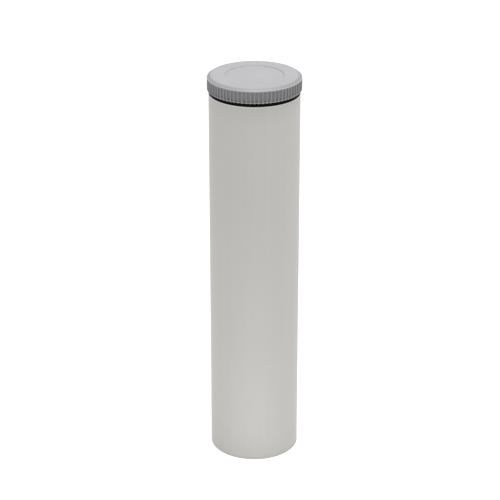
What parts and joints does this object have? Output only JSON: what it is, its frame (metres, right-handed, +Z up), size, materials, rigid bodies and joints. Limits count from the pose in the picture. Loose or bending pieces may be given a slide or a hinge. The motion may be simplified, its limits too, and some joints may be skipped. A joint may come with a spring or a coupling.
{
  "type": "fire blanket canister",
  "caption": "Free-standing fire blanket canister: plastic tube with a ribbed screw cap and rubber seal around a rolled woven blanket with pull tapes.",
  "frame": {"origin": "middle of the tube's cut end, on the surface that the canister stands on", "axes": "+Z up along the tube's axis to the screw cap; the pull tapes lie side by side across the mouth, at +X and at -X"},
  "size_m": [0.1036, 0.1036, 0.4495],
  "materials": {
    "tube_plastic": "smooth extruded light warm grey plastic, satin",
    "cap_plastic": "moulded mid grey plastic, satin",
    "seal_rubber": "black rubber, matt",
    "blanket_cloth": "close woven glass fibre cloth, off-white",
    "tape_webbing": "black herringbone webbing",
    "tack_thread": "off-white sewing thread"
  },
  "bodies": {
    "canister": {"tube": "tube_plastic", "bottom_plug": "tube_plastic", "threaded_collar": "cap_plastic"},
    "seal": {"cap_seal": "seal_rubber"},
    "cap": {"screw_cap": "cap_plastic"},
    "blanket": {"blanket_roll": "blanket_cloth", "pull_tape_right": "tape_webbing", "pull_tape_left": "tape_webbing", "bar_tack_right": "tack_thread", "bar_tack_left": "tack_thread"}
  },
  "joints": [
    {"name": "cap_rise", "type": "slide", "parent": "canister", "child": "seal", "axis": [0, 0, 1], "range_m": [0, 0.0241]},
    {"name": "cap_turn", "type": "hinge", "parent": "seal", "child": "cap", "pos_m": [0, 0, 0.4335], "axis": [0, 0, 1], "range_deg": [0, 1440]},
    {"name": "blanket_slide", "type": "slide", "parent": "canister", "child": "blanket", "axis": [0, 0, 1], "range_m": [0, 0.0055]}
  ],
  "couplings": [
    {"joint": "cap_rise", "follows": "cap_turn", "m_per_rad": 0.00095493}
  ]
}
